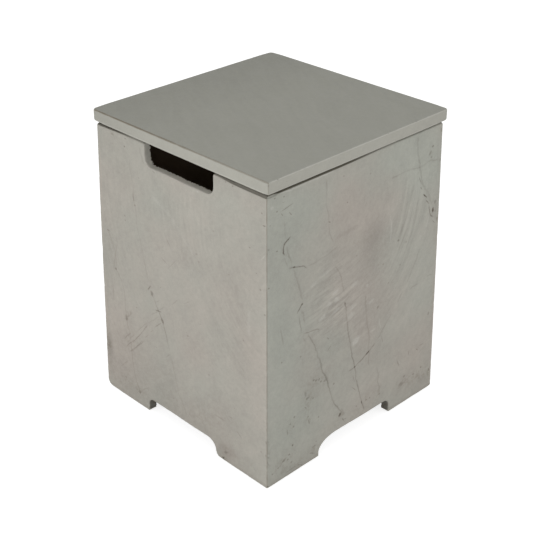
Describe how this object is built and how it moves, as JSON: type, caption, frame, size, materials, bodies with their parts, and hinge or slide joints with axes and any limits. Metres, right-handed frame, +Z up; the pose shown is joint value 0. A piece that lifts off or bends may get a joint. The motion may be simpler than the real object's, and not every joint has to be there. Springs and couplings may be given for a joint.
{
  "type": "propane tank cover table",
  "caption": "Square moulded-concrete side table that stands over a propane cylinder: hollow open-bottomed body with handle slots and foot arches, and a lift-off slab.",
  "frame": {"origin": "on the floor, under the middle of the table", "axes": "+Z up, -Y and +Y out of the two faces with a handle slot, +X to the right when facing the -Y slot"},
  "size_m": [0.409, 0.409, 0.5293],
  "materials": {
    "cast_concrete": "matt, hand-trowelled and moulded glass-fibre-reinforced concrete",
    "slab_concrete": "smooth sealed glass-fibre-reinforced concrete",
    "rubber": "matt moulded rubber"
  },
  "bodies": {
    "shell": {"cover_shell": "cast_concrete", "floor_pad_1": "rubber", "floor_pad_2": "rubber", "floor_pad_3": "rubber", "floor_pad_4": "rubber"},
    "lid": {"table_lid": "slab_concrete", "lid_bumper_1": "rubber", "lid_bumper_2": "rubber", "lid_bumper_3": "rubber", "lid_bumper_4": "rubber", "lid_locator_1": "rubber", "lid_locator_2": "rubber", "lid_locator_3": "rubber", "lid_locator_4": "rubber"}
  },
  "joints": [
    {"name": "lid_lift", "type": "slide", "parent": "shell", "child": "lid", "axis": [0, 0, 1], "range_m": [0, 0.15]}
  ]
}
